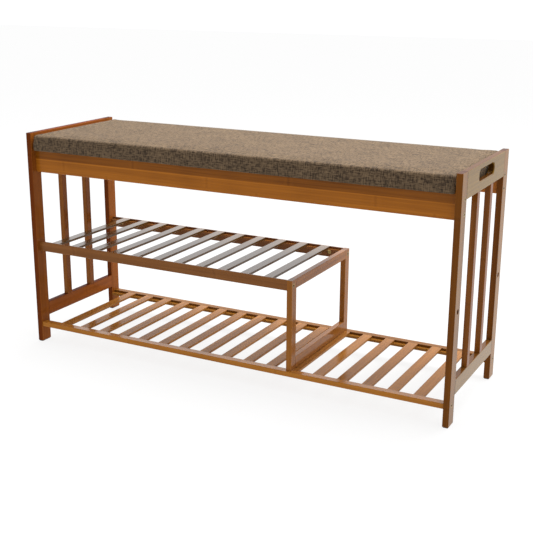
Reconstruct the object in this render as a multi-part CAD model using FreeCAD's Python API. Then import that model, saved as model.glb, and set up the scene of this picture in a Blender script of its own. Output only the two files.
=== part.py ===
import FreeCAD, Part
import os
from collections import namedtuple
from math import cos, pi, sin

# Entryway bench in stained bamboo: two ladder-like end frames, two aprons that carry an
# upholstered seat, a slatted lower shelf over the full length, and a shorter slatted upper
# shelf whose right end stands on a small divider frame. The space right of it holds boots.
#
# Millimetres. The origin is the centre of the footprint, on the floor.
# +X runs to the right end, +Y to the rear, +Z up.

V = FreeCAD.Vector
LEFT, RIGHT = -1, 1
FRONT, REAR = -1, 1
END_NAMES = {LEFT: "left", RIGHT: "right"}
SIDE_NAMES = {FRONT: "front", REAR: "rear"}

# ---- overall sizes
bench_length = 1000.0
bench_depth = 306.0
bench_height = 492.0

# ---- fits
joint_clearance = 0.1        # round a tenon in its mortise, and at a slat's end in its rabbet
hole_clearance = 0.2         # round a bolt head or a barrel nut in wood
bolt_clearance = 0.5         # round the shank of a bolt in wood
thread_clearance = 0.05      # round a thread in metal or in its pilot hole
end_room = 0.5               # past the end of a tenon or a blind screw hole
reach = 1.0                  # how far a cutting shape runs past the face it cuts

# ---- end frames
frame_thickness = 12.5
leg_width = 30.0
leg_edge_radius = 1.2
leg_top_radius = 0.8
pad_thickness = 2.0          # felt pad under each leg
pad_inset = 1.5
handle_board_height = 52.0
slot_length = 100.0          # hand slot through the handle board
slot_height = 22.5
slot_drop = 10.5             # from the top edge of the board to the slot
slot_corner_radius = 9.0
slot_rim_radius = 1.5
bottom_rail_height = 31.5
bottom_rail_lift = 58.5      # floor to the underside of the bottom rail
end_slat_width = 16.0
end_slat_thickness = 11.5
end_slat_count = 2
tenon_thickness = 6.0
tenon_length = 10.0
tenon_shoulder = 7.0         # at the upper and lower edge of a rail's tenon
slat_tenon_thickness = 5.0
slat_tenon_length = 8.0
slat_tenon_shoulder = 3.0

# ---- aprons and seat
apron_height = 50.0
apron_thickness = 12.0
apron_setback = 14.0         # front face of the bench to the front apron
apron_edge_radius = 1.5
seat_thickness = 36.0
seat_top_drop = 3.0          # top of the seat below the top of the legs
seat_end_gap = 3.5           # seat to end frame
seat_side_setback = 0.5
seat_edge_radius = 6.0
cover_thickness = 1.2        # fabric
seat_board_thickness = 9.0
foam_clearance = 0.1
return_gap = 1.0             # edge of the turned-under fabric to the ends of the battens
batten_count = 3
batten_spacing = 320.0
batten_width = 40.0
batten_thickness = 15.0
batten_housing = 4.0         # how far a batten's end sits in the apron
batten_screw_offset = 80.0   # screw to the middle of the batten

# ---- lower shelf
lower_shelf_top = 48.0
lower_rail_height = 11.0
lower_rail_width = 27.0
lower_rail_setback = 3.0
lower_lip_width = 16.0       # full-height part of the rail, outside the rabbet
lower_slat_count = 17
lower_slat_width = 22.0
lower_end_space = 44.5       # leg to the first slat
slat_thickness = 5.0         # both shelves, and the depth of both rabbets
slat_edge_radius = 0.8
rail_edge_radius = 1.0

# ---- upper shelf
upper_shelf_top = 241.5
upper_rail_height = 22.5
upper_rail_thickness = 12.0
upper_rail_setback = 10.5
upper_lip_width = 3.0
upper_slat_count = 11
upper_slat_width = 21.0

# ---- divider frame
boot_bay_width = 326.5       # right end frame to the divider
divider_thickness = 12.0
divider_setback = 9.0
divider_post_width = 21.0
divider_top_rail_height = 20.0
divider_bottom_rail_height = 25.0
divider_tenon_thickness = 5.0
divider_tenon_length = 7.0
divider_tenon_shoulder = 4.0

# ---- fasteners
bolt_radius = 3.0
bolt_head_radius = 5.0
bolt_head_height = 3.0
bolt_tip_past_nut = 2.0
hex_socket_radius = 2.3      # corner to centre
hex_socket_depth = 1.8
nut_radius = 5.0             # barrel nut
nut_length = 9.0
nut_setback = 32.0           # end of the rail to the barrel nut
nut_slot_width = 1.2
nut_slot_depth = 1.0
apron_bolt_margin = 11.0     # bolt to the upper or lower edge of the apron
lower_bolt_setback = 13.0    # face of the bench to the bolts of the lower rails
screw_radius = 2.0
screw_head_radius = 4.0
screw_head_height = 2.5
screw_length = 20.0
screw_tip_length = 3.0

# ---- places worked out from the sizes above
inner_half_length = bench_length / 2 - frame_thickness
seat_top = bench_height - seat_top_drop
apron_top = seat_top - seat_thickness
apron_bottom = apron_top - apron_height
seat_board_bottom = apron_top + cover_thickness
seat_board_top = seat_board_bottom + seat_board_thickness
cover_return_width = apron_setback + apron_thickness - batten_housing - return_gap
board_bottom = bench_height - handle_board_height
bottom_rail_top = bottom_rail_lift + bottom_rail_height
lower_shelf_bottom = lower_shelf_top - lower_rail_height
upper_shelf_bottom = upper_shelf_top - upper_rail_height
divider_right = inner_half_length - boot_bay_width
divider_left = divider_right - divider_thickness
bolt_length = frame_thickness + nut_setback + nut_radius + bolt_tip_past_nut


def end_x(distance, end):
    """X of a plane a distance in from the outer face of an end frame."""
    return end * (bench_length / 2 - distance)


def side_y(distance, side):
    """Y of a plane a distance in from the front or rear face of the bench."""
    return side * (bench_depth / 2 - distance)


def block(xs, ys, zs):
    """A box between two values on each axis, given in either order."""
    low = V(min(xs), min(ys), min(zs))
    return Part.makeBox(max(xs) - low.x, max(ys) - low.y, max(zs) - low.z, low)


def rod(start, end, radius):
    """A round bar from one point to another."""
    along = end.sub(start)
    return Part.makeCylinder(radius, along.Length, start, along)


def edges_along(solid, direction):
    """The straight edges of a solid that run along a direction."""
    found = []
    for edge in solid.Edges:
        run = edge.Vertexes[-1].Point.sub(edge.Vertexes[0].Point)
        if run.cross(direction).Length < 1e-6 * run.Length:
            found.append(edge)
    return found


def eased_block(xs, ys, zs, direction, radius):
    """A box whose four edges along a direction are rounded."""
    solid = block(xs, ys, zs)
    return solid.makeFillet(radius, edges_along(solid, direction))


def centred(middle, width):
    """The two ends of a width about its middle."""
    return (middle - width / 2, middle + width / 2)


def shrunk(low, high, margin):
    """A span with a margin taken off each end, or added where the margin is negative."""
    return (low + margin, high - margin)


# ---- bolts along X, and the barrel nuts that they meet inside the rails

Fastening = namedtuple("Fastening", "face inward rail_end y z mouth")
# face: X of the face that the head lies in. inward: +1 or -1 along X, into the wood.
# rail_end: X of the end of the rail. mouth: direction from the nut to the mouth of its hole.


def bolt(place):
    """A flat-headed bolt with a hexagonal socket, its head flush with the wood."""
    start = V(place.face, place.y, place.z)
    along = V(place.inward, 0, 0)
    under_head = start.add(along * bolt_head_height)
    head = rod(start, under_head, bolt_head_radius)
    shank = rod(under_head, start.add(along * bolt_length), bolt_radius)
    angles = [pi / 3 * step for step in range(7)]
    rim = [start.add(V(0, cos(a), sin(a)) * hex_socket_radius) for a in angles]
    socket = Part.Face(Part.makePolygon(rim)).extrude(along * hex_socket_depth)
    return head.fuse(shank).removeSplitter().cut(socket)


def bolt_bore(place):
    """What a bolt needs removed from the wood: a counterbore, and a hole for the shank."""
    start = V(place.face, place.y, place.z)
    along = V(place.inward, 0, 0)
    outside = start.sub(along * reach)
    counterbore = rod(outside, start.add(along * bolt_head_height), bolt_head_radius + hole_clearance)
    hole = rod(outside, start.add(along * (bolt_length + end_room)), bolt_radius + bolt_clearance)
    return counterbore.fuse(hole)


def nut_centre(place):
    """Middle of a barrel nut, on the axis of its bolt."""
    return V(place.rail_end + place.inward * nut_setback, place.y, place.z)


def barrel_nut(place):
    """A round nut across the bolt, with a screwdriver slot at the mouth of its hole."""
    centre = nut_centre(place)
    half = place.mouth * (nut_length / 2)
    body = rod(centre.sub(half), centre.add(half), nut_radius)
    ahead = V(bolt_length, 0, 0)
    body = body.cut(rod(centre.sub(ahead), centre.add(ahead), bolt_radius + thread_clearance))
    slot_floor = centre.add(place.mouth * (nut_length / 2 - nut_slot_depth))
    slot_top = centre.add(place.mouth * (nut_length / 2 + reach))
    wide = centred(centre.x, 2 * nut_radius + reach)
    if place.mouth.z:
        slot = block(wide, centred(centre.y, nut_slot_width), (slot_floor.z, slot_top.z))
    else:
        slot = block(wide, (slot_floor.y, slot_top.y), centred(centre.z, nut_slot_width))
    return body.cut(slot)


def nut_pocket(place):
    """The blind hole of a barrel nut, open towards its mouth."""
    centre = nut_centre(place)
    deep = centre.sub(place.mouth * (nut_length / 2 + hole_clearance))
    outside = centre.add(place.mouth * max(apron_thickness, lower_rail_height))
    return rod(deep, outside, nut_radius + hole_clearance)


def apron_fastenings(side, ends=(LEFT, RIGHT)):
    """Two bolts, one above the other, at each end of an apron."""
    y = side_y(apron_setback + apron_thickness / 2, side)
    heights = shrunk(apron_bottom, apron_top, apron_bolt_margin)
    mouth = V(0, -side, 0)
    return [
        Fastening(end_x(0, end), -end, end_x(frame_thickness, end), y, z, mouth)
        for end in ends
        for z in heights
    ]


def lower_fastenings(side, ends=(LEFT, RIGHT)):
    """One bolt at each end of a lower rail. Its nut goes in from below."""
    y = side_y(lower_bolt_setback, side)
    z = (lower_shelf_bottom + lower_shelf_top) / 2
    return [
        Fastening(end_x(0, end), -end, end_x(frame_thickness, end), y, z, V(0, 0, -1))
        for end in ends
    ]


def upper_fastening(side, end):
    """The bolt through a leg at the height of the upper shelf."""
    y = side_y(upper_rail_setback + upper_rail_thickness / 2, side)
    z = (upper_shelf_bottom + upper_shelf_top) / 2
    return Fastening(end_x(0, end), -end, end_x(frame_thickness, end), y, z, V(0, -side, 0))


def divider_fastening(side):
    """The bolt through a divider post into the right end of an upper rail."""
    at_leg = upper_fastening(side, LEFT)
    return Fastening(divider_right, -1, divider_left, at_leg.y, at_leg.z, at_leg.mouth)


def all_fastenings():
    """Every bolt and nut of the bench."""
    places = []
    for side in (FRONT, REAR):
        places += apron_fastenings(side)
        places += lower_fastenings(side)
        places.append(upper_fastening(side, LEFT))
        places.append(divider_fastening(side))
    return places


def without_fastenings(rail, places):
    """A rail with the holes of its bolts and barrel nuts."""
    for place in places:
        rail = rail.cut(bolt_bore(place)).cut(nut_pocket(place))
    return rail


# ---- wood screws, pointing up

def screw(x, y, underside):
    """A countersunk wood screw driven upwards from a face."""
    head = Part.makeCone(screw_head_radius, screw_radius, screw_head_height, V(x, y, underside))
    shank_length = screw_length - screw_head_height - screw_tip_length
    shank = Part.makeCylinder(screw_radius, shank_length, V(x, y, underside + screw_head_height))
    tip_base = V(x, y, underside + screw_length - screw_tip_length)
    tip = Part.makeCone(screw_radius, 0, screw_tip_length, tip_base)
    return head.fuse([shank, tip]).removeSplitter()


def screw_bore(x, y, underside):
    """Countersink and hole for a wood screw."""
    sink_radius = screw_head_radius + thread_clearance
    hole_radius = screw_radius + thread_clearance
    sink = Part.makeCone(sink_radius, hole_radius, screw_head_height, V(x, y, underside))
    hole = Part.makeCylinder(hole_radius, screw_length + end_room, V(x, y, underside))
    return sink.fuse(hole)


def batten_middles():
    """X of the middle of each batten."""
    first = -batten_spacing * (batten_count - 1) / 2
    return [first + step * batten_spacing for step in range(batten_count)]


def batten_screws(x):
    """Where the two screws of a batten start."""
    underside = seat_board_bottom - batten_thickness
    return [(x, y, underside) for y in (-batten_screw_offset, batten_screw_offset)]


def post_screw(side):
    """Where the screw up through a lower rail into a divider post starts."""
    lip_end = lower_rail_setback + lower_lip_width
    y = side_y((divider_setback + lip_end) / 2, side)
    return ((divider_left + divider_right) / 2, y, lower_shelf_bottom)


# ---- end frames

def frame_tenon(end, side, low, high, margin, extra):
    """A rail's tenon at one leg, or its mortise where the margin is negative."""
    middle = end_x(frame_thickness / 2, end)
    root = side_y(leg_width, side)
    tip = side_y(leg_width - tenon_length - extra, side)
    xs = centred(middle, tenon_thickness - 2 * margin)
    return block(xs, (root, tip), shrunk(low, high, tenon_shoulder + margin))


def rail_heights():
    """Lower and upper edge of the two boards between the legs of an end frame."""
    return [(board_bottom, bench_height), (bottom_rail_lift, bottom_rail_top)]


def leg(end, side):
    """A leg with its mortises, and with holes for the aprons and both shelves."""
    xs = (end_x(0, end), end_x(frame_thickness, end))
    ys = (side_y(0, side), side_y(leg_width, side))
    upright = V(0, 0, 1)
    solid = eased_block(xs, ys, (pad_thickness, bench_height), upright, leg_edge_radius)
    top_edges = [edge for edge in solid.Edges if edge.BoundBox.ZMin > bench_height - reach]
    solid = solid.makeFillet(leg_top_radius, top_edges)
    for low, high in rail_heights():
        solid = solid.cut(frame_tenon(end, side, low, high, -joint_clearance, end_room))
    places = apron_fastenings(side, (end,)) + lower_fastenings(side, (end,))
    places.append(upper_fastening(side, end))
    for place in places:
        solid = solid.cut(bolt_bore(place))
    return solid


def end_slat_middles():
    """Y of the middle of each upright slat: equal spaces between the legs."""
    between_legs = bench_depth - 2 * leg_width
    space = (between_legs - end_slat_count * end_slat_width) / (end_slat_count + 1)
    step = space + end_slat_width
    first = -between_legs / 2 + space + end_slat_width / 2
    return [first + number * step for number in range(end_slat_count)]


def slat_tenons(end, y, margin, extra):
    """Both tenons of an upright slat, or their mortises where the margin is negative."""
    xs = centred(end_x(frame_thickness / 2, end), slat_tenon_thickness - 2 * margin)
    ys = centred(y, end_slat_width - 2 * (slat_tenon_shoulder + margin))
    low, high = shrunk(bottom_rail_top, board_bottom, -slat_tenon_length - extra)
    return block(xs, ys, (low, high))


def cross_board(end, low, high):
    """A board between the legs of an end frame, with its tenons and slat mortises."""
    xs = (end_x(0, end), end_x(frame_thickness, end))
    ys = (side_y(leg_width, FRONT), side_y(leg_width, REAR))
    solid = eased_block(xs, ys, (low, high), V(0, 1, 0), leg_edge_radius)
    tenons = [frame_tenon(end, side, low, high, 0, 0) for side in (FRONT, REAR)]
    solid = solid.fuse(tenons).removeSplitter()
    for y in end_slat_middles():
        solid = solid.cut(slat_tenons(end, y, -joint_clearance, end_room))
    return solid


def hand_slot(end):
    """The round-cornered hole through a handle board, with softened rims."""
    outer = end_x(0, end)
    inner = end_x(frame_thickness, end)
    top = bench_height - slot_drop
    heights = (top - slot_height, top)
    through = block((outer, inner), centred(0, slot_length), heights)
    through = through.makeFillet(slot_corner_radius, edges_along(through, V(1, 0, 0)))
    for face, inward in ((outer, -end), (inner, end)):
        centre = V(face, 0, top - slot_height / 2)
        through = through.fuse(slot_rim(centre, inward))
    return through


def slot_rim(centre, inward):
    """A chamfer around the mouth of the hand slot, from a face inwards."""
    outlines = []
    for grow, depth in ((slot_rim_radius, 0), (0, slot_rim_radius)):
        x = centre.x + inward * depth
        half_length = slot_length / 2 + grow
        half_height = slot_height / 2 + grow
        outlines.append(rounded_outline(x, centre.z, half_length, half_height, slot_corner_radius + grow))
    return Part.makeLoft(outlines, True, True)


def rounded_outline(x, z, half_length, half_height, radius):
    """A closed rectangle with round corners in the plane of an end frame."""
    flat = Part.Face(Part.makePolygon([
        V(x, -half_length, z - half_height),
        V(x, half_length, z - half_height),
        V(x, half_length, z + half_height),
        V(x, -half_length, z + half_height),
        V(x, -half_length, z - half_height),
    ]))
    bar = flat.extrude(V(1, 0, 0))
    bar = bar.makeFillet(radius, edges_along(bar, V(1, 0, 0)))
    ends = [face for face in bar.Faces if abs(face.CenterOfMass.x - x) < 1e-6]
    return ends[0].OuterWire


def handle_board(end):
    """The top board of an end frame, with its hand slot."""
    return cross_board(end, board_bottom, bench_height).cut(hand_slot(end))


def bottom_rail(end):
    """The low board of an end frame."""
    return cross_board(end, bottom_rail_lift, bottom_rail_top)


def end_slat(end, y):
    """An upright slat between the bottom rail and the handle board."""
    xs = centred(end_x(frame_thickness / 2, end), end_slat_thickness)
    ys = centred(y, end_slat_width)
    solid = eased_block(xs, ys, (bottom_rail_top, board_bottom), V(0, 0, 1), slat_edge_radius)
    return solid.fuse(slat_tenons(end, y, 0, 0)).removeSplitter()


def foot_pads():
    """A felt pad under each leg."""
    pads = []
    for end in (LEFT, RIGHT):
        for side in (FRONT, REAR):
            xs = (end_x(pad_inset, end), end_x(frame_thickness - pad_inset, end))
            ys = (side_y(pad_inset, side), side_y(leg_width - pad_inset, side))
            pads.append(block(xs, ys, (0, pad_thickness)))
    return Part.makeCompound(pads)


# ---- aprons and seat

def batten(x, margin=0.0):
    """A cross batten, or the space that it needs where the margin is negative."""
    xs = centred(x, batten_width - 2 * margin)
    end_y = apron_setback + apron_thickness - batten_housing
    ys = (side_y(end_y + joint_clearance + margin, FRONT), side_y(end_y + joint_clearance + margin, REAR))
    zs = (seat_board_bottom - batten_thickness, seat_board_bottom - margin)
    return block(xs, ys, zs)


def drilled_batten(x):
    """A batten with the holes of its two screws."""
    solid = batten(x)
    for place in batten_screws(x):
        solid = solid.cut(screw_bore(*place))
    return solid


def apron(side):
    """A long board under the seat, housed for the battens and bored for its bolts."""
    xs = (-inner_half_length, inner_half_length)
    ys = (side_y(apron_setback, side), side_y(apron_setback + apron_thickness, side))
    solid = eased_block(xs, ys, (apron_bottom, apron_top), V(1, 0, 0), apron_edge_radius)
    for x in batten_middles():
        solid = solid.cut(batten(x, -joint_clearance))
    return without_fastenings(solid, apron_fastenings(side))


def seat_form(inset, bottom, top, round_top):
    """The seat's outline, set in, with rounded corners and, if asked, a rounded top edge."""
    half_length = inner_half_length - seat_end_gap - inset
    half_depth = bench_depth / 2 - seat_side_setback - inset
    radius = seat_edge_radius - inset
    solid = block((-half_length, half_length), (-half_depth, half_depth), (bottom, top))
    edges = edges_along(solid, V(0, 0, 1))
    if round_top:
        edges += [edge for edge in solid.Edges if edge.BoundBox.ZMin > top - radius]
    return solid.makeFillet(radius, edges)


def seat_cover():
    """Fabric over the seat, turned under the board all round."""
    outer = seat_form(0, apron_top, seat_top, True)
    inside = seat_form(cover_thickness, seat_board_bottom, seat_top - cover_thickness, True)
    mouth = seat_form(cover_thickness, apron_top - reach, seat_board_bottom + reach, False)
    half_length = inner_half_length - seat_end_gap - cover_return_width
    half_depth = bench_depth / 2 - seat_side_setback - cover_return_width
    opening = block((-half_length, half_length), (-half_depth, half_depth), (0, seat_top))
    return outer.cut(inside).cut(mouth.common(opening))


def seat_foam():
    """The foam pad on the seat board."""
    return seat_form(cover_thickness + foam_clearance, seat_board_top, seat_top - cover_thickness, True)


def seat_board():
    """The plywood board inside the cover, with pilot holes for the batten screws."""
    solid = seat_form(cover_thickness + foam_clearance, seat_board_bottom, seat_board_top, False)
    for x in batten_middles():
        for place in batten_screws(x):
            solid = solid.cut(screw_bore(*place))
    return solid


# ---- shelves

def rabbeted_rail(xs, side, setback, width, lip, zs):
    """A shelf rail with a step along its inner top edge that the slats lie in."""
    ys = (side_y(setback, side), side_y(setback + width, side))
    solid = eased_block(xs, ys, zs, V(1, 0, 0), rail_edge_radius)
    step_y = (side_y(setback + lip, side), side_y(setback + width + reach, side))
    step_x = shrunk(min(xs), max(xs), -reach)
    return solid.cut(block(step_x, step_y, (zs[1] - slat_thickness, zs[1] + reach)))


def lower_rail(side):
    """A long rail of the lower shelf, drilled for the divider post that stands on it."""
    xs = (-inner_half_length, inner_half_length)
    zs = (lower_shelf_bottom, lower_shelf_top)
    solid = rabbeted_rail(xs, side, lower_rail_setback, lower_rail_width, lower_lip_width, zs)
    solid = solid.cut(screw_bore(*post_screw(side)))
    return without_fastenings(solid, lower_fastenings(side))


def upper_rail(side):
    """A rail of the upper shelf, from the left end frame to the divider."""
    xs = (-inner_half_length, divider_left)
    zs = (upper_shelf_bottom, upper_shelf_top)
    solid = rabbeted_rail(xs, side, upper_rail_setback, upper_rail_thickness, upper_lip_width, zs)
    return without_fastenings(solid, [upper_fastening(side, LEFT), divider_fastening(side)])


def shelf_slat(x, width, shoulder, top):
    """A thin slat from rabbet to rabbet, its upper face flush with the rails."""
    end_y = shoulder + joint_clearance
    ys = (side_y(end_y, FRONT), side_y(end_y, REAR))
    zs = (top - slat_thickness, top)
    return eased_block(centred(x, width), ys, zs, V(0, 1, 0), slat_edge_radius)


def lower_slats():
    """The lower slats, evenly spaced between two end spaces."""
    first = -inner_half_length + lower_end_space + lower_slat_width / 2
    step = -2 * first / (lower_slat_count - 1)
    shoulder = lower_rail_setback + lower_lip_width
    middles = [first + number * step for number in range(lower_slat_count)]
    return [shelf_slat(x, lower_slat_width, shoulder, lower_shelf_top) for x in middles]


def upper_slats():
    """The upper slats, with the same space beside every one."""
    shelf_length = divider_left + inner_half_length
    space = (shelf_length - upper_slat_count * upper_slat_width) / (upper_slat_count + 1)
    step = space + upper_slat_width
    first = -inner_half_length + space + upper_slat_width / 2
    shoulder = upper_rail_setback + upper_lip_width
    middles = [first + number * step for number in range(upper_slat_count)]
    return [shelf_slat(x, upper_slat_width, shoulder, upper_shelf_top) for x in middles]


# ---- divider frame

def divider_heights():
    """Lower and upper edge of the divider's two rails."""
    top_rail = (upper_shelf_top - divider_top_rail_height, upper_shelf_top)
    low_rail = (lower_shelf_top, lower_shelf_top + divider_bottom_rail_height)
    return {"top": top_rail, "bottom": low_rail}


def divider_tenon(side, low, high, margin, extra):
    """A divider rail's tenon at one post, or its mortise where the margin is negative."""
    middle = (divider_left + divider_right) / 2
    xs = centred(middle, divider_tenon_thickness - 2 * margin)
    root = divider_setback + divider_post_width
    ys = (side_y(root, side), side_y(root - divider_tenon_length - extra, side))
    return block(xs, ys, shrunk(low, high, divider_tenon_shoulder + margin))


def divider_post(side):
    """A post that stands on a lower rail and holds the end of an upper rail."""
    xs = (divider_left, divider_right)
    ys = (side_y(divider_setback, side), side_y(divider_setback + divider_post_width, side))
    zs = (lower_shelf_top, upper_shelf_top)
    solid = eased_block(xs, ys, zs, V(0, 0, 1), rail_edge_radius)
    for low, high in divider_heights().values():
        solid = solid.cut(divider_tenon(side, low, high, -joint_clearance, end_room))
    solid = solid.cut(bolt_bore(divider_fastening(side)))
    return solid.cut(screw_bore(*post_screw(side)))


def divider_rail(low, high):
    """A rail between the two divider posts."""
    root = divider_setback + divider_post_width
    ys = (side_y(root, FRONT), side_y(root, REAR))
    solid = eased_block((divider_left, divider_right), ys, (low, high), V(0, 1, 0), rail_edge_radius)
    tenons = [divider_tenon(side, low, high, 0, 0) for side in (FRONT, REAR)]
    return solid.fuse(tenons).removeSplitter()


# ---- the whole bench

def wood_screws():
    """Every wood screw: two in each batten, and one under each divider post."""
    places = [post_screw(side) for side in (FRONT, REAR)]
    for x in batten_middles():
        places += batten_screws(x)
    return Part.makeCompound([screw(*place) for place in places])


def end_frame_nodes():
    """The pieces of both end frames, by name."""
    nodes = {}
    for end, end_name in END_NAMES.items():
        for side, side_name in SIDE_NAMES.items():
            nodes[f"{end_name}_{side_name}_leg"] = leg(end, side)
        for y, side_name in zip(end_slat_middles(), SIDE_NAMES.values()):
            nodes[f"{end_name}_{side_name}_end_slat"] = end_slat(end, y)
        nodes[f"{end_name}_handle_board"] = handle_board(end)
        nodes[f"{end_name}_bottom_rail"] = bottom_rail(end)
    return nodes


def seat_nodes():
    """The battens and the layers of the seat, by name."""
    nodes = {"seat_board": seat_board(), "seat_foam": seat_foam(), "seat_cover": seat_cover()}
    for number, x in enumerate(batten_middles(), 1):
        nodes[f"seat_batten_{number}"] = drilled_batten(x)
    return nodes


def shelf_nodes():
    """Aprons, shelf rails, divider posts and slats, by name."""
    nodes = {}
    for side, side_name in SIDE_NAMES.items():
        nodes[f"{side_name}_apron"] = apron(side)
        nodes[f"lower_{side_name}_rail"] = lower_rail(side)
        nodes[f"upper_{side_name}_rail"] = upper_rail(side)
        nodes[f"divider_{side_name}_post"] = divider_post(side)
    for name, (low, high) in divider_heights().items():
        nodes[f"divider_{name}_rail"] = divider_rail(low, high)
    for shelf, slats in (("lower", lower_slats()), ("upper", upper_slats())):
        for number, slat in enumerate(slats, 1):
            nodes[f"{shelf}_slat_{number:02d}"] = slat
    return nodes


def hardware_nodes():
    """Fasteners and foot pads, each kind as one group of separate solids."""
    places = all_fastenings()
    return {
        "bolts": Part.makeCompound([bolt(place) for place in places]),
        "barrel_nuts": Part.makeCompound([barrel_nut(place) for place in places]),
        "wood_screws": wood_screws(),
        "foot_pads": foot_pads(),
    }


os.makedirs("parts", exist_ok=True)
for make in (end_frame_nodes, seat_nodes, shelf_nodes, hardware_nodes):
    for node, shape in make().items():
        shape.exportStep(f"parts/{node}.step")
        print(node, len(shape.Solids), shape.isValid(), round(shape.Volume / 1000, 2), "cm3")
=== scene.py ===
# %% [markdown]
# # An entryway bench in stained bamboo, with a linen seat
#
# The bench is a flat-pack piece: two ladder-like end frames, two aprons, a long lower shelf, a
# short upper shelf and a padded seat. Every wooden piece and every bolt comes from the packed
# frame and keeps its shape. What is made here is what wood and cloth need to look real: the grain
# and lacquer of each stick of bamboo, the plated bolts, and the padded seat with its woven cover.

# %% Load the frame
import math

import bpy
import numpy as np
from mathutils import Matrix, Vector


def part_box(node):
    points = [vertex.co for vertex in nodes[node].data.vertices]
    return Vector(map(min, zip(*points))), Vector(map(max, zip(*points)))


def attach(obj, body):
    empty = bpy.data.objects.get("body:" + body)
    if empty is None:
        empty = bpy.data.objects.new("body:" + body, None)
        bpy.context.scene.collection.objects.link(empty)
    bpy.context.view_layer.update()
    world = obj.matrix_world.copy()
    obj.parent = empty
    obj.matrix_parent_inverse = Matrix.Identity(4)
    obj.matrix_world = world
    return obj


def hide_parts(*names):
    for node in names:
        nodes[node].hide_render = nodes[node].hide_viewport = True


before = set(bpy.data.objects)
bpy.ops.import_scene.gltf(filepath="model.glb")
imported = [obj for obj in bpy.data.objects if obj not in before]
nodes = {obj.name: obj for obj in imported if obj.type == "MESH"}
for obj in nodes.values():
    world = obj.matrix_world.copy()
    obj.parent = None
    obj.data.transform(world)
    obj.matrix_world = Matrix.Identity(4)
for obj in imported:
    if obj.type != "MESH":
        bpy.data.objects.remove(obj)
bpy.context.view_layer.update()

# %% [markdown]
# ## A short way to write a finish
#
# A finish in Blender is a graph of small nodes that ends in one shader. Adding each node by hand
# takes several lines, so a helper class does the clerical work: it adds a node, sets the values
# that are plain numbers and links the values that come from another node. The finishes below then
# read like recipes.

# %% The finish helper
class Finish:
    """One material. Each method adds a node and returns the socket that carries its result."""

    def __init__(self, name):
        self.material = bpy.data.materials.new(name)
        self.material.use_nodes = True
        self.tree = self.material.node_tree
        self.tree.nodes.clear()

    def node(self, kind, inputs=(), **settings):
        """Add a node. inputs maps a socket's name or number to a number, a colour or a socket."""
        made = self.tree.nodes.new("ShaderNode" + kind)
        for key, value in settings.items():
            setattr(made, key, value)
        for key, value in dict(inputs).items():
            if isinstance(value, bpy.types.NodeSocket):
                self.tree.links.new(value, made.inputs[key])
            else:
                made.inputs[key].default_value = value
        return made

    def math(self, operation, *values, clamp=False):
        """A sum, product or other plain operation on one, two or three values."""
        made = self.node("Math", dict(enumerate(values)), operation=operation, use_clamp=clamp)
        return made.outputs[0]

    def vector(self, x, y, z):
        """Three values as one vector."""
        return self.node("CombineXYZ", {0: x, 1: y, 2: z}).outputs[0]

    def place(self):
        """The place of a point in the bench's own frame, as three values in metres."""
        place = self.node("TexCoord").outputs["Object"]
        return self.node("SeparateXYZ", {0: place}).outputs

    def facing(self):
        """How far the surface faces along each axis, as three values from -1 to 1."""
        normal = self.node("TexCoord").outputs["Normal"]
        return self.node("SeparateXYZ", {0: normal}).outputs

    def noise(self, vector, scale=1.0, detail=2.0, roughness=0.5):
        """Soft random values round 0.5."""
        inputs = {"Vector": vector, "Scale": scale, "Detail": detail, "Roughness": roughness}
        return self.node("TexNoise", inputs).outputs[0]

    def chance(self, vector):
        """One even random value from 0 to 1 for each different vector."""
        return self.node("TexWhiteNoise", {"Vector": vector}, noise_dimensions="3D").outputs["Value"]

    def between(self, value, low, high, to_low=0.0, to_high=1.0):
        """A smooth step: to_low below low, to_high above high."""
        inputs = {0: value, 1: low, 2: high, 3: to_low, 4: to_high}
        return self.node("MapRange", inputs, interpolation_type="SMOOTHSTEP").outputs[0]

    def blend(self, share, first, second, mode="MIX"):
        """Two colours mixed by a share from 0 to 1."""
        made = self.node("Mix", data_type="RGBA", blend_type=mode)
        for socket, value in zip((0, 6, 7), (share, first, second)):
            if isinstance(value, bpy.types.NodeSocket):
                self.tree.links.new(value, made.inputs[socket])
            else:
                made.inputs[socket].default_value = value
        return made.outputs[2]

    def bump(self, height, distance, strength=1.0):
        """A surface normal tilted as if the height, in metres times distance, were there."""
        inputs = {"Height": height, "Distance": distance, "Strength": strength}
        return self.node("Bump", inputs).outputs[0]

    def surface(self, **inputs):
        """The last node: the shader, with spaces in its sockets' names written as underscores."""
        named = {key.replace("_", " "): value for key, value in inputs.items()}
        shader = self.node("BsdfPrincipled", named)
        self.node("OutputMaterial", {"Surface": shader.outputs[0]})
        return self.material


def paint(red, green, blue):
    """A colour given as on a paint card, 0 to 255, made linear as the shader wants it."""
    card = np.array([red, green, blue]) / 255
    linear = np.where(card <= 0.04045, card / 12.92, ((card + 0.055) / 1.055) ** 2.4)
    return (*linear.tolist(), 1.0)


def wear(piece, material):
    """Give a piece one finish, in place of any it came with."""
    piece.data.materials.clear()
    piece.data.materials.append(material)


print("finish helper ready")

# %% [markdown]
# ## Stained bamboo
#
# Bamboo lumber is not sawn from a trunk. The cane is split into strips, and the strips are glued
# side by side, so a rail shows long parallel strips, each with its own tone, fine straight fibres,
# and now and then the knuckle where the cane had a joint. A stain and a clear satin lacquer go
# over all of it. An image could not follow every stick of the bench, so the grain is worked out
# from the place of each point: the value along the stick picks knuckles, the two values across it
# pick strips and fibres. At the ends of a stick the fibres show as dots and take up more stain.

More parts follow.
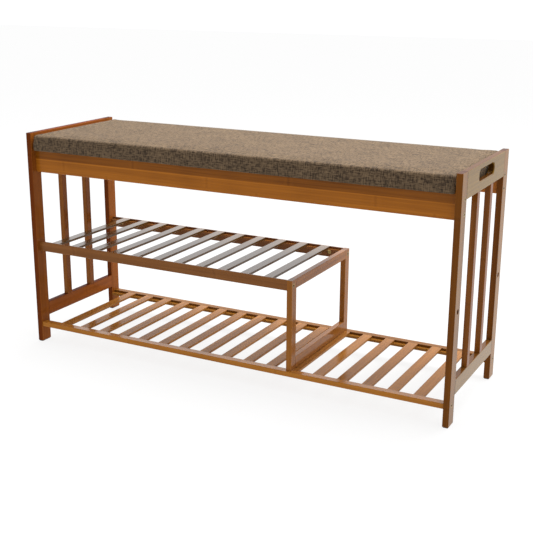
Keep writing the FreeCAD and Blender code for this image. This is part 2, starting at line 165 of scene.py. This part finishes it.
# %% The bamboo finish
def bamboo(name, axis, tone, strip, start, dim=(), joint=None, veil=1.0):
    """Bamboo that runs along axis, 0 to 2, in metres.

    strip and start are the width and the first edge of the strips. dim maps an axis to how bright
    the faces across it are: painted shade, which makes the faces that turn that way darker and redder.
    joint is the height of a pale glue line, with a darker strip above it that is partly its own tone
    and partly painted shade under the seat's overhang.
    veil is how much the clear coat shines at a low angle.
    """
    culm = 0.37
    roughness = 0.30
    wood = Finish(name)
    place, facing = wood.place(), wood.facing()
    along = place[axis]
    across = [place[other] for other in range(3) if other != axis]
    lanes = [
        wood.math("FLOOR", wood.math("DIVIDE", wood.math("SUBTRACT", value, edge), width))
        for value, edge, width in zip(across, start, strip)
    ]
    strip_key = wood.vector(*lanes, float(axis))
    tint = wood.chance(strip_key)
    shift = wood.chance(wood.vector(*lanes, 7.5 + axis))
    # fibres: noise drawn out along the stick
    drawn_out = [
        wood.vector(wood.math("MULTIPLY", along, slow), *[wood.math("MULTIPLY", v, quick) for v in across])
        for slow, quick in ((9, 900), (2.2, 150))
    ]
    fine = wood.noise(drawn_out[0], detail=3)
    broad = wood.noise(drawn_out[1], detail=2)
    cloud = wood.noise(wood.vector(*[place[i] for i in range(3)]), scale=7.0, detail=2)
    # knuckles: one narrow band for each length of cane, moved at random from strip to strip
    turn = wood.math("FRACT", wood.math("ADD", wood.math("DIVIDE", along, culm), shift))
    away = wood.math("MULTIPLY", wood.math("ABSOLUTE", wood.math("SUBTRACT", turn, 0.5)), culm)
    ragged = wood.math("ADD", away, wood.math("MULTIPLY", wood.math("SUBTRACT", fine, 0.5), 0.003))
    knuckle = wood.between(ragged, 0.0005, 0.0050, 1.0, 0.0)
    halo = wood.between(ragged, 0.004, 0.014, 1.0, 0.0)
    # tone: each effect is a small step away from 1
    steps = [(tint, 0.26), (fine, 0.55), (broad, 0.60), (cloud, 0.45)]
    value = 1.0
    for effect, size in steps:
        swing = wood.math("MULTIPLY", wood.math("SUBTRACT", effect, 0.5), size)
        value = wood.math("ADD", swing, value)
    value = wood.math("SUBTRACT", value, wood.math("MULTIPLY", knuckle, 0.13))
    value = wood.math("ADD", value, wood.math("MULTIPLY", halo, 0.05))
    # joint: a pale glue line, and above it a darker strip, partly its own tone and partly painted shade
    # under the seat's overhang
    if joint:
        above = wood.between(place[2], joint - 0.0005, joint + 0.0005, 0.0, 0.5)
        from_line = wood.math("ABSOLUTE", wood.math("SUBTRACT", place[2], joint - 0.0006))
        line = wood.between(from_line, 0.0006, 0.0024, 0.2, 0.0)
        value = wood.math("ADD", wood.math("SUBTRACT", value, above), line)
    # lacquer: it shines more at a low angle, and less on the faces that dim names; these get painted shade,
    # darker and redder
    lean = wood.node("LayerWeight", {"Blend": 0.5}).outputs["Facing"]
    shine = wood.between(lean, 0.25, 0.72, 0.22 * veil, veil)
    shade_redness = 1.0
    for side, darker in dict(dim).items():
        turned = wood.between(wood.math("ABSOLUTE", facing[side]), 0.6, 0.9, 1.0, darker)
        value = wood.math("MULTIPLY", value, turned)
        shine = wood.math("MULTIPLY", shine, turned)
        shade_redness = wood.math("MULTIPLY", shade_redness, wood.math("POWER", turned, 0.5))
    # ends of the fibres: dots, and more stain
    end = wood.between(wood.math("ABSOLUTE", facing[axis]), 0.75, 0.95)
    dots = wood.node("TexVoronoi", {"Vector": wood.vector(*across, 0.0), "Scale": 900.0}).outputs["Distance"]
    dark_end = wood.math("ADD", 0.42, wood.math("MULTIPLY", dots, 0.25))
    loss = wood.math("MULTIPLY", end, wood.math("SUBTRACT", dark_end, 1.0))
    value = wood.math("MULTIPLY", value, wood.math("ADD", 1.0, loss))
    green = wood.math("MULTIPLY", shade_redness, wood.math("POWER", value, 1.12))
    blue = wood.math("MULTIPLY", shade_redness, wood.math("POWER", value, 1.25))
    shade = wood.blend(1.0, tone, wood.vector(value, green, blue), "MULTIPLY")
    height = wood.math("ADD", wood.math("MULTIPLY", fine, 0.5), wood.math("MULTIPLY", knuckle, -0.9))
    return wood.surface(
        Base_Color=shade,
        Roughness=wood.math("ADD", roughness - 0.06, wood.math("MULTIPLY", broad, 0.14)),
        Normal=wood.bump(height, 0.00012, 0.5),
        Specular_IOR_Level=0.0,
        Coat_Weight=shine,
        Coat_IOR=1.5,
        Coat_Roughness=0.16,
    )


print("bamboo finish ready")

# %% [markdown]
# ## Which stick gets which bamboo
#
# The sticks were stained in batches, and it shows. The aprons are the brightest and most orange.
# The legs are a deep brown, and the shelf slats lie between. The direction of the grain is the
# long direction of the stick, so it is read from each node's own box. The aprons are glued from
# broad strips with a joint above mid-height, and the slats are a single strip each.
#
# Some faces are made darker and less shiny by the way that they look. On a real bench this comes
# from lamps and dark screens round it. Putting it in the stain is a shortcut: it needs no screens,
# but it stays on the piece when the bench is seen from another side. The left frame has its own
# stain for the same reason, so seen from the ends the right frame is olive and the left one orange.

# %% The batches
glue_joint = 0.433
slat_width = 0.0268
slat_edge = -0.4868
stains = {
    "apron": paint(163, 97, 26),
    "leg": paint(126, 82, 27),
    "end_rail": paint(120, 86, 32),
    "handle": paint(122, 91, 34),
    # left_leg and left_handle copy the leg and handle stains in another tone: painted light, as the left
    # frame is lit otherwise than the right
    "left_leg": paint(130, 72, 24),
    "left_handle": paint(132, 72, 28),
    "rear_rail": paint(132, 86, 34),
    "upright": paint(130, 77, 27),
    "divider": paint(150, 94, 38),
    "rail": paint(164, 104, 36),
    "upper": paint(124, 78, 38),
    "slat": paint(150, 98, 42),
    "upper_slat": paint(92, 64, 30),
}
# dim: painted shade, a factor on the tone of the faces that turn along that axis
traits = {
    "apron": {"joint": glue_joint},
    "leg": {"dim": {1: 0.68, 2: 0.45}, "veil": 0.72},
    "handle": {"dim": {1: 0.6, 2: 0.5}, "veil": 0.7},
    "left_leg": {"dim": {1: 0.62, 2: 0.4}, "veil": 0.45},
    "left_handle": {"dim": {2: 0.4}, "veil": 0.45},
    "end_rail": {"dim": {2: 0.6}, "veil": 0.85},
    "upright": {"dim": {0: 0.85}, "veil": 0.85},
    "slat": {"veil": 0.5},
    "rear_rail": {"veil": 0.4},
    "divider": {"veil": 0.7},
}


def stain_of(name):
    """The batch of stain that a stick belongs to, from its name."""
    if "apron" in name:
        return "apron"
    # the left frame takes its own copies of the stains, which paint in the different light that falls on it
    side = "left_" if name.startswith("left_") else ""
    if name.endswith("_leg"):
        return side + "leg"
    if "upper_slat" in name:
        return "upper_slat"
    if "lower_slat" in name:
        return "slat"
    if "divider" in name:
        return "divider"
    if name.startswith("upper"):
        return "upper"
    if "handle" in name or name == "left_bottom_rail":
        return side + "handle"
    if name == "right_bottom_rail":
        return "end_rail"
    if "end_slat" in name:
        return "upright"
    return "rear_rail" if "rear" in name else "rail"


print(len(stains), "batches of stain")

# %% Finish every stick
shared = {}
words = ("leg", "handle_board", "rail", "slat", "post", "apron", "batten")
wooden = [name for name in nodes if any(word in name for word in words)]
for name in wooden:
    low, high = (np.array(corner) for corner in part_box(name))
    axis = int(np.argmax(high - low))
    batch = stain_of(name)
    if "slat" in batch:
        strip, start = (slat_width, 0.05), (slat_edge, 0.0)
    elif batch == "apron":
        strip, start = (0.02, 0.0215), (0.0, glue_joint)
    else:
        strip, start = (0.0205, 0.0205), (0.0065, 0.0065)
    key = (batch, axis)
    if key not in shared:
        title = f"bamboo_{batch}_{'xyz'[axis]}"
        shared[key] = bamboo(title, axis, stains[batch], strip, start, **traits.get(batch, {}))
    wear(nodes[name], shared[key])
print(len(wooden), "sticks share", len(shared), "bamboo finishes")

# %% [markdown]
# ## Bolts, nuts, screws, felt and the plywood board
#
# The bolts are steel with a yellow plate, which is a metal with a warm colour whose polish varies
# where a key or a thumb has rubbed it. The screws below the seat are zinc grey. The pads under the
# legs are pressed felt, and the board under the seat is raw plywood, seen only from below.

# %% Finish the hardware
def plated(name, bright, dull):
    """A plated metal, with cloudy patches and fine scratches."""
    metal = Finish(name)
    place = metal.vector(*[metal.place()[i] for i in range(3)])
    patches = metal.noise(place, scale=220.0, detail=3)
    scratches = metal.noise(place, scale=1600.0, detail=2)
    return metal.surface(
        Base_Color=metal.blend(metal.between(patches, 0.35, 0.65), dull, bright),
        Metallic=1.0,
        Roughness=metal.math("ADD", 0.22, metal.math("MULTIPLY", scratches, 0.25)),
        Normal=metal.bump(scratches, 0.00004, 0.4),
    )


def felt():
    """Dark pressed felt: short fibres in every direction."""
    cloth = Finish("pressed_felt")
    place = cloth.vector(*[cloth.place()[i] for i in range(3)])
    fibres = cloth.noise(place, scale=1800.0, detail=4, roughness=0.7)
    return cloth.surface(
        Base_Color=cloth.blend(fibres, paint(38, 30, 26), paint(92, 80, 70)),
        Roughness=0.95,
        Sheen_Weight=0.4,
        Normal=cloth.bump(fibres, 0.0004, 0.8),
    )


def plywood():
    """Raw plywood: open figure on its faces, thin layers at its edges."""
    ply = Finish("raw_plywood")
    x, y, z = ply.place()
    layers = ply.math("SINE", ply.math("MULTIPLY", z, 2 * math.pi / 0.003))
    warp = ply.noise(ply.vector(ply.math("MULTIPLY", x, 1.5), ply.math("MULTIPLY", y, 14), z), detail=3)
    figure = ply.math("SINE", ply.math("MULTIPLY", warp, 60))
    edge = ply.between(ply.math("ABSOLUTE", ply.facing()[2]), 0.3, 0.6, 1.0, 0.0)
    pattern = ply.math("ADD", ply.math("MULTIPLY", layers, edge), ply.math("MULTIPLY", figure, 0.5))
    grey = ply.between(pattern, -1.2, 1.2)
    return ply.surface(
        Base_Color=ply.blend(grey, paint(176, 138, 92), paint(216, 184, 138)),
        Roughness=0.75,
        Normal=ply.bump(pattern, 0.0001, 0.5),
    )


brass = plated("yellow_plated_steel", paint(178, 150, 98), paint(118, 92, 54))
wear(nodes["bolts"], brass)
wear(nodes["barrel_nuts"], brass)
wear(nodes["wood_screws"], plated("zinc_plated_screws", paint(206, 208, 210), paint(150, 152, 156)))
wear(nodes["foot_pads"], felt())
wear(nodes["seat_board"], plywood())
print("hardware, felt and plywood finished")

# %% [markdown]
# ## The padded seat: its form
#
# The real seat is a foam pad on a board, wrapped in one piece of cloth that is pulled tight,
# turned under the board and stapled. So the form has to swell a little on top, keep a soft upper
# edge, stand straight down its sides, and turn under in a narrow hem. A box with rounded edges
# would show neither the swelling nor the hem. Here the cover is one closed surface: a grid for the
# top, a ladder of rings that run down the side, under the board and back up inside it, and a lid
# over the board. The cloth simulation then blows it up while the hem stays stapled.

# %% Sizes of the seat
cover_low, cover_high = (np.array(corner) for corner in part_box("seat_cover"))
board_low, board_high = (np.array(corner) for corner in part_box("seat_board"))
half = (cover_high - cover_low)[:2] / 2 + (0.0015, 0.0)
middle = (cover_high + cover_low)[:2] / 2
board_half = (board_high - board_low)[:2] / 2
under, top = cover_low[2], cover_high[2]
columns, rows = 128, 40
slack = 0.0008               # the cloth lies this far inside the full size, as room to swell
soft = 0.0060                # radius of the upper edge
fold = 0.0015                # least radius of a corner, seen from above
print("seat", (2 * half * 1000).round(1).tolist(), "mm wide and deep")


# %% Rings and top
def rim_of_grid(columns, rows):
    """The edge of a grid from -1 to 1 in both directions, as points in order round it."""
    u = np.linspace(-1, 1, columns + 1)
    v = np.linspace(-1, 1, rows + 1)
    return np.concatenate([
        np.stack([u[:-1], np.full(columns, -1.0)], 1),
        np.stack([np.full(rows, 1.0), v[:-1]], 1),
        np.stack([u[:0:-1], np.full(columns, 1.0)], 1),
        np.stack([np.full(rows, -1.0), v[:0:-1]], 1),
    ])


def round_corners(points, size, radius):
    """Pull a rectangle's corners in to a radius: near a corner, square cells become a quarter disc."""
    flat = np.abs(points) * size
    over = np.maximum(flat - (size - radius), 0) / radius
    pulled = over * np.sqrt(1 - over[:, ::-1] ** 2 / 2)
    inner = np.minimum(flat, size - radius)
    return np.sign(points) * (inner + pulled * radius)


def seat_profile():
    """The line from the top's edge to the lid over the board, as (inset, height, corner radius).

    It is a quarter round at the upper edge, a straight side, a small round at the lower edge, the
    hem under the board, and the way back up round the board's edge.
    """
    turn, cloth = 0.0016, 0.0010
    bend = np.radians(np.linspace(9, 81, 9))
    upper = np.stack([slack + soft * (1 - np.sin(bend)), top - slack - soft * (1 - np.cos(bend))], 1)
    side = np.stack([np.full(7, slack), np.linspace(top - slack - soft, under + turn, 7)], 1)
    bend = np.radians([30, 60, 90])
    lower = np.stack([slack + turn * (1 - np.cos(bend)), under + turn * (1 - np.sin(bend))], 1)
    hem_end = 0.0205
    hem = np.stack([np.linspace(0.006, hem_end, 5), np.full(5, under)], 1)
    lid_inset = 0.012
    beside_board = (half - board_half)[1] - 0.0001
    over_board = board_high[2] + 0.0002
    back = np.array([
        [hem_end, under + cloth], [lid_inset, under + cloth], [beside_board, under + cloth],
        [beside_board, board_high[2] - 0.004], [beside_board, over_board], [lid_inset, over_board],
    ])
    line = np.concatenate([upper, side, lower, hem, back])
    corner = np.maximum(0.0038 - line[:, 0], fold)
    return line, corner


def seat_mesh():
    """The seat as one closed surface: grid on top, rings down and under, lid over the board."""
    line, corners = seat_profile()
    inset = slack + soft
    u, v = np.meshgrid(np.linspace(-1, 1, columns + 1), np.linspace(-1, 1, rows + 1), indexing="ij")
    grid = np.stack([u.ravel(), v.ravel()], 1)
    flat = round_corners(grid, half - inset, fold)
    cells = [np.column_stack([flat, np.full(len(flat), top - slack)])]
    rim = rim_of_grid(columns, rows)
    count = len(rim)
    for (inward, height), radius in zip(line, corners):
        ring = round_corners(rim, half - inward, radius)
        cells.append(np.column_stack([ring, np.full(count, height)]))
    inward, height = line[-1]
    inner = grid.reshape(columns + 1, rows + 1, 2)[1:-1, 1:-1].reshape(-1, 2)
    lid = round_corners(inner, half - inward, corners[-1])
    cells.append(np.column_stack([lid, np.full(len(inner), height)]))
    points = np.concatenate(cells)
    points[:, :2] += middle
    number = np.arange((columns + 1) * (rows + 1)).reshape(columns + 1, rows + 1)
    top_faces = np.stack([number[:-1, :-1], number[1:, :-1], number[1:, 1:], number[:-1, 1:]], -1)
    edge = np.concatenate([number[:-1, 0], number[-1, :-1], number[:0:-1, -1], number[0, :0:-1]])
    first = number.size
    rings = [edge] + [first + count * k + np.arange(count) for k in range(len(line))]
    lid_edge = rings.pop()
    lid_number = np.full(number.shape, -1)
    lid_first = first + count * len(line)
    lid_number[1:-1, 1:-1] = lid_first + np.arange(len(inner)).reshape(columns - 1, rows - 1)
    lid_number[:-1, 0], lid_number[-1, :-1] = lid_edge[:columns], lid_edge[columns:columns + rows]
    lid_number[:0:-1, -1] = lid_edge[columns + rows:2 * columns + rows]
    lid_number[0, :0:-1] = lid_edge[2 * columns + rows:]
    lid_faces = np.stack([
        lid_number[:-1, :-1], lid_number[:-1, 1:], lid_number[1:, 1:], lid_number[1:, :-1],
    ], -1)
    rings.append(lid_edge)
    bands = [np.stack([a, b, np.roll(b, -1), np.roll(a, -1)], -1) for a, b in zip(rings[:-1], rings[1:])]
    faces = np.concatenate([top_faces.reshape(-1, 4), *bands, lid_faces.reshape(-1, 4)])
    return points, faces, number.size, count, len(line)


points, faces, top_count, ring_count, ring_total = seat_mesh()
mesh = bpy.data.meshes.new("seat_cushion")
mesh.from_pydata(points.tolist(), [], faces.tolist())
mesh.validate()
cushion = bpy.data.objects.new("seat_cushion", mesh)
bpy.context.scene.collection.objects.link(cushion)
print("seat surface:", len(points), "points,", len(faces), "faces")

# %% [markdown]
# ## The padded seat: its cloth coordinates
#
# A woven pattern has to follow the cloth, over the edge and down the side, as one piece of cloth
# does. So every face corner is given its place on the flat cloth, in metres: on top it is simply
# (x, y), and down a side the distance already travelled down is added outwards. At the four
# corners the cloth is folded, so a pattern may change direction there.

# %% Cloth coordinates
def cloth_place(points, faces):
    """Place on the flat cloth of every face corner: (x, y) plus the way down, outwards, by side."""
    corners = faces.ravel()
    owner = np.repeat(np.arange(len(faces)), 4)
    centres = points[faces].mean(1)
    local = centres[:, :2] - middle
    lead = np.abs(local) - half
    on_end = (lead[:, 0] > lead[:, 1])[owner]
    down = np.maximum(top - points[corners, 2], 0)
    place = points[corners, :2].copy()
    place[:, 0] += np.where(on_end, np.sign(local[owner, 0]) * down, 0)
    place[:, 1] += np.where(on_end, 0, np.sign(local[owner, 1]) * down)
    return place


weave = mesh.uv_layers.new(name="cloth")
weave.data.foreach_set("uv", cloth_place(points, faces).ravel())
print("cloth coordinates on", len(weave.data), "face corners")


# %% [markdown]
# ## The padded seat: blown up by simulation
#
# Foam pushes a cover out from inside, most where the cover is free and least along the stapled
# hem. Blender's cloth does the same with a pressure inside a closed mesh. The lower half of the
# sides, the hem and the lid are held, gravity is off, and it runs for twenty frames. The pressure
# is too strong: left free, the cloth draws its sides in until the board shows, rises above the
# legs and moves by up to four centimetres. So only the direction of each point's travel is used,
# and its length is cut to about two millimetres. The kept form is therefore close to the drawn
# one: its top is raised a little, and its sides stay straight from corner to corner.

# %% Blow up the cover
def swell(piece, held, limit, pressure=4.0, frames=20):
    """Run the cloth on a closed piece and keep the shape, with each point's travel cut to limit."""
    group = piece.vertex_groups.new(name="held")
    group.add(held, 1.0, "REPLACE")
    cloth = piece.modifiers.new("cloth", "CLOTH")
    cloth.settings.quality = 6
    cloth.settings.mass = 0.15
    cloth.settings.tension_stiffness = 18
    cloth.settings.compression_stiffness = 18
    cloth.settings.shear_stiffness = 6
    cloth.settings.bending_stiffness = 1.5
    cloth.settings.vertex_group_mass = "held"
    cloth.settings.use_pressure = True
    cloth.settings.uniform_pressure_force = pressure
    cloth.settings.effector_weights.gravity = 0.0
    cloth.collision_settings.use_collision = False
    before = np.empty(len(piece.data.vertices) * 3)
    piece.data.vertices.foreach_get("co", before)
    scene = bpy.context.scene
    cloth.point_cache.frame_start, cloth.point_cache.frame_end = 1, frames
    for step in range(1, frames + 1):
        scene.frame_set(step)
    swollen = piece.evaluated_get(bpy.context.evaluated_depsgraph_get()).data
    after = np.empty_like(before)
    swollen.vertices.foreach_get("co", after)
    piece.modifiers.remove(cloth)
    scene.frame_set(1)
    before, after = before.reshape(-1, 3), after.reshape(-1, 3)
    travel = after - before
    length = np.linalg.norm(travel, axis=1)
    kept = travel * (limit * np.tanh(length / limit) / np.maximum(length, 1e-9))[:, None]
    piece.data.vertices.foreach_set("co", (before + kept).ravel())
    piece.data.update()
    return length


ring_of = np.full(len(points), ring_total)
ring_of[:top_count] = -1
ring_of[top_count:top_count + ring_count * ring_total] = np.repeat(np.arange(ring_total), ring_count)
first_held_ring = 12
longest_travel = 0.0022
held = np.flatnonzero(ring_of >= first_held_ring).tolist()
travel = swell(cushion, held, longest_travel)
print("cover blown up; widest travel", round(float(travel.max()) * 1000, 1), "mm")

# %% [markdown]
# ## The cloth of the seat
#
# The cover is a linen look: brown and tan yarns mixed in both directions, uneven in thickness, so
# that light and dark slubs cross each other. A checker of over and under gives the bump, two
# drawn-out noises give the slubs, and a faint sheen stands for the loose fibre ends.

# %% The linen finish
def linen():
    """Mixed yarns in both directions, with slubs, on the flat cloth's own coordinates."""
    cloth = Finish("brown_linen")
    flat = cloth.node("UVMap", uv_map="cloth").outputs[0]
    u, v, _ = cloth.node("SeparateXYZ", {0: flat}).outputs
    pitch = 0.0016
    warp = cloth.math("SINE", cloth.math("MULTIPLY", u, 2 * math.pi / pitch))
    weft = cloth.math("SINE", cloth.math("MULTIPLY", v, 2 * math.pi / pitch))
    checker = cloth.math("MULTIPLY", warp, weft)
    thin, drawn = 420, 75
    slub_v, slub_u = [
        cloth.noise(
            cloth.vector(cloth.math("MULTIPLY", u, by_u), cloth.math("MULTIPLY", v, by_v), layer),
            detail=3, roughness=0.65,
        )
        for by_u, by_v, layer in ((thin, drawn, 1.0), (drawn, thin, 5.0))
    ]
    over = cloth.between(checker, -0.3, 0.3)
    behind = cloth.math("MULTIPLY", cloth.math("SUBTRACT", 1.0, over), slub_v)
    yarn = cloth.math("ADD", cloth.math("MULTIPLY", over, slub_u), behind)
    mean_slub = cloth.math("MULTIPLY", cloth.math("ADD", slub_u, slub_v), 0.25)
    both = cloth.math("ADD", cloth.math("MULTIPLY", yarn, 0.5), mean_slub)
    cloud = cloth.noise(cloth.vector(u, v, 0.0), scale=18.0, detail=3)
    tone = cloth.math("ADD", both, cloth.math("MULTIPLY", cloth.math("SUBTRACT", cloud, 0.5), 0.12))
    shade = cloth.blend(cloth.between(tone, 0.38, 0.62), paint(46, 34, 24), paint(118, 97, 73))
    height = cloth.math("ADD", cloth.math("MULTIPLY", checker, 0.25), cloth.math("MULTIPLY", both, 1.2))
    return cloth.surface(
        Base_Color=shade,
        Roughness=0.92,
        Sheen_Weight=0.15,
        Sheen_Roughness=0.5,
        Sheen_Tint=paint(214, 196, 172),
        Specular_IOR_Level=0.25,
        Normal=cloth.bump(height, 0.0006, 0.8),
    )


wear(cushion, linen())
for face in mesh.polygons:
    face.use_smooth = True
smooth = cushion.modifiers.new("smooth", "SUBSURF")
smooth.levels = smooth.render_levels = 1
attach(cushion, "root")
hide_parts("seat_cover", "seat_foam")
print("seat cushion covered")

# %% [markdown]
# ## Floor, light and camera
#
# A bench like this is shown on a plain pale floor under broad soft lights. One large lamp hangs
# overhead, a little behind, so the seat is bright and the front is calmer, and the pale room
# around gives the lacquer something to reflect.

# %% Floor and room
floor_mesh = bpy.data.meshes.new("floor")
reach = 12.0
floor_corners = [(-reach, -reach, 0), (reach, -reach, 0), (reach, reach, 0), (-reach, reach, 0)]
floor_mesh.from_pydata(floor_corners, [], [(0, 1, 2, 3)])
floor = bpy.data.objects.new("floor", floor_mesh)
bpy.context.scene.collection.objects.link(floor)
pale = Finish("pale_floor")
wear(floor, pale.surface(
    Base_Color=(0.12, 0.12, 0.12, 1),
    Roughness=0.9,
    Specular_IOR_Level=0.0,
    Emission_Color=(1, 1, 1, 1),
    Emission_Strength=0.85,
))

world = bpy.data.worlds.new("pale_room")
world.use_nodes = True
room = world.node_tree
direction = room.nodes.new("ShaderNodeTexCoord")
split = room.nodes.new("ShaderNodeSeparateXYZ")
level = room.nodes.new("ShaderNodeMapRange")
level.inputs[1].default_value, level.inputs[2].default_value = -0.7, 0.2
level.inputs[3].default_value, level.inputs[4].default_value = 0.45, 1.45
room.links.new(direction.outputs["Generated"], split.inputs[0])
room.links.new(split.outputs[1], level.inputs[0])
room.links.new(level.outputs[0], room.nodes["Background"].inputs[1])
room.nodes["Background"].inputs[0].default_value = (1, 1, 1, 1)
bpy.context.scene.world = world
bpy.context.scene.view_settings.view_transform = "Standard"


def soft_lamp(name, place, aim, size, power):
    """A square lamp at place, turned to shine on aim. size in metres, power in watts."""
    lamp = bpy.data.lights.new(name, "AREA")
    lamp.size = size
    lamp.energy = power
    made = bpy.data.objects.new(name, lamp)
    toward = np.array(aim, float) - np.array(place, float)
    spin = math.atan2(toward[1], toward[0]) - math.pi / 2
    tilt = math.atan2(math.hypot(toward[0], toward[1]), -toward[2])
    made.location = place
    made.rotation_euler = (tilt, 0, spin)
    bpy.context.scene.collection.objects.link(made)
    return made


soft_lamp("overhead", (0.2, 0.7, 2.6), (0, 0, 0.4), 2.0, 104)
print("floor, room and lamps set")

# %% Camera
view = bpy.data.cameras.new("camera")
view.sensor_width = 36.0
view.lens = 67.54
view.shift_x, view.shift_y = 0.0298, 0.0017
camera = bpy.data.objects.new("camera", view)
camera.location = (1.00895, -1.85871, 0.82839)
camera.rotation_euler = (math.radians(73.723), 0, math.radians(28.796))
bpy.context.scene.collection.objects.link(camera)
bpy.context.scene.camera = camera
print("camera set")
